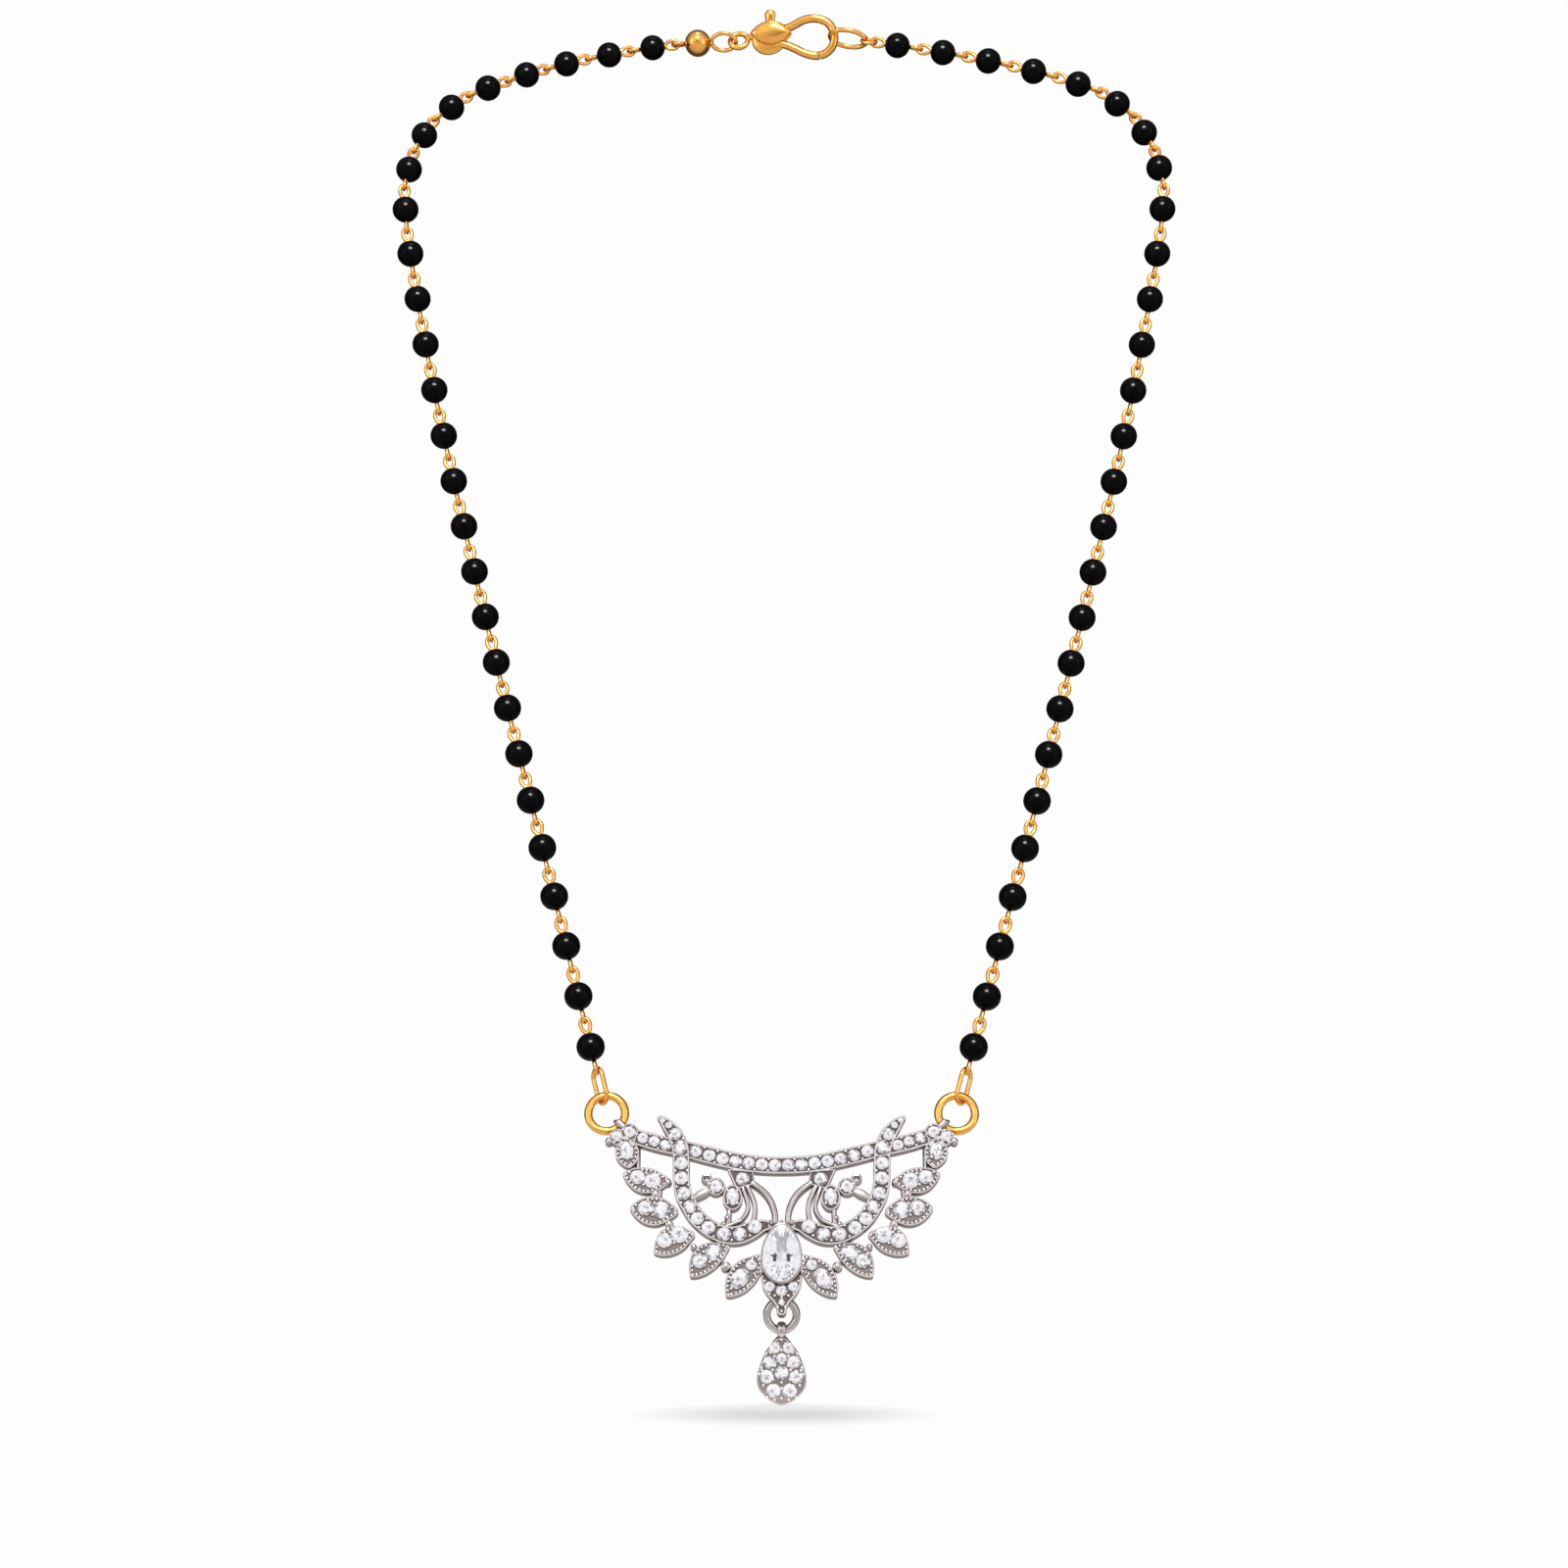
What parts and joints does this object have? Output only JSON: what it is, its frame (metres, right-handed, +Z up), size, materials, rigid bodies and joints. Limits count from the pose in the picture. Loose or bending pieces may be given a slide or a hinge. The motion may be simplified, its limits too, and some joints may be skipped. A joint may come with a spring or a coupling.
{
  "type": "mangalsutra necklace",
  "caption": "Necklace of black beads on linked gold eye pins, with a curved openwork stone-set pendant, a hanging pear drop and a lobster clasp.",
  "frame": {"origin": "the nape of the neck, at the height where the two ends of the bead chain meet the clasp's links", "axes": "+X to the viewer's right, +Y away from the viewer and to the back of the neck, +Z up"},
  "size_m": [0.1101, 0.0808, 0.1915],
  "materials": {
    "gold": "polished yellow gold plate",
    "white_gold": "polished white metal, faintly pink",
    "clear_stone": "faceted and polished",
    "black_bead": "opaque black, polished"
  },
  "bodies": {
    "necklace": {"setting": "white_gold", "centre_stone": "clear_stone", "bar_stones": "clear_stone", "band_stones_left": "clear_stone", "band_stones_right": "clear_stone", "leaf_stones_left": "clear_stone", "leaf_stones_right": "clear_stone", "end_stones_left": "clear_stone", "end_stones_right": "clear_stone", "twig_stones": "clear_stone", "tip_stones": "clear_stone", "side_ring_left": "gold", "side_ring_right": "gold", "side_link_left": "gold", "side_link_right": "gold", "beads_left": "black_bead", "beads_right": "black_bead", "pins_left": "gold", "pins_right": "gold", "gold_ball": "gold", "ball_pin": "gold", "clasp_body": "gold", "end_link": "gold", "small_ring": "gold"},
    "clasp_lever": {"clasp_lever": "gold"},
    "drop_ring": {"drop_ring": "white_gold"},
    "drop": {"drop_setting": "white_gold", "drop_stones": "clear_stone"}
  },
  "joints": [
    {"name": "clasp_lever", "type": "hinge", "parent": "necklace", "child": "clasp_lever", "pos_m": [-0.00224, 0.00013, 0.0008], "axis": [-0.1564, -0.9877, 0], "range_deg": [0, 18], "stiffness_Nm_per_rad": 0.02, "springref_deg": -17.19},
    {"name": "ring_swing", "type": "hinge", "parent": "necklace", "child": "drop_ring", "pos_m": [-0.0003, -0.07374, -0.1733], "axis": [1, 0, 0], "range_deg": [-15, 70]},
    {"name": "drop_swing", "type": "hinge", "parent": "drop_ring", "child": "drop", "pos_m": [-0.0003, -0.07374, -0.177], "axis": [1, 0, 0], "range_deg": [-50, 50]}
  ]
}
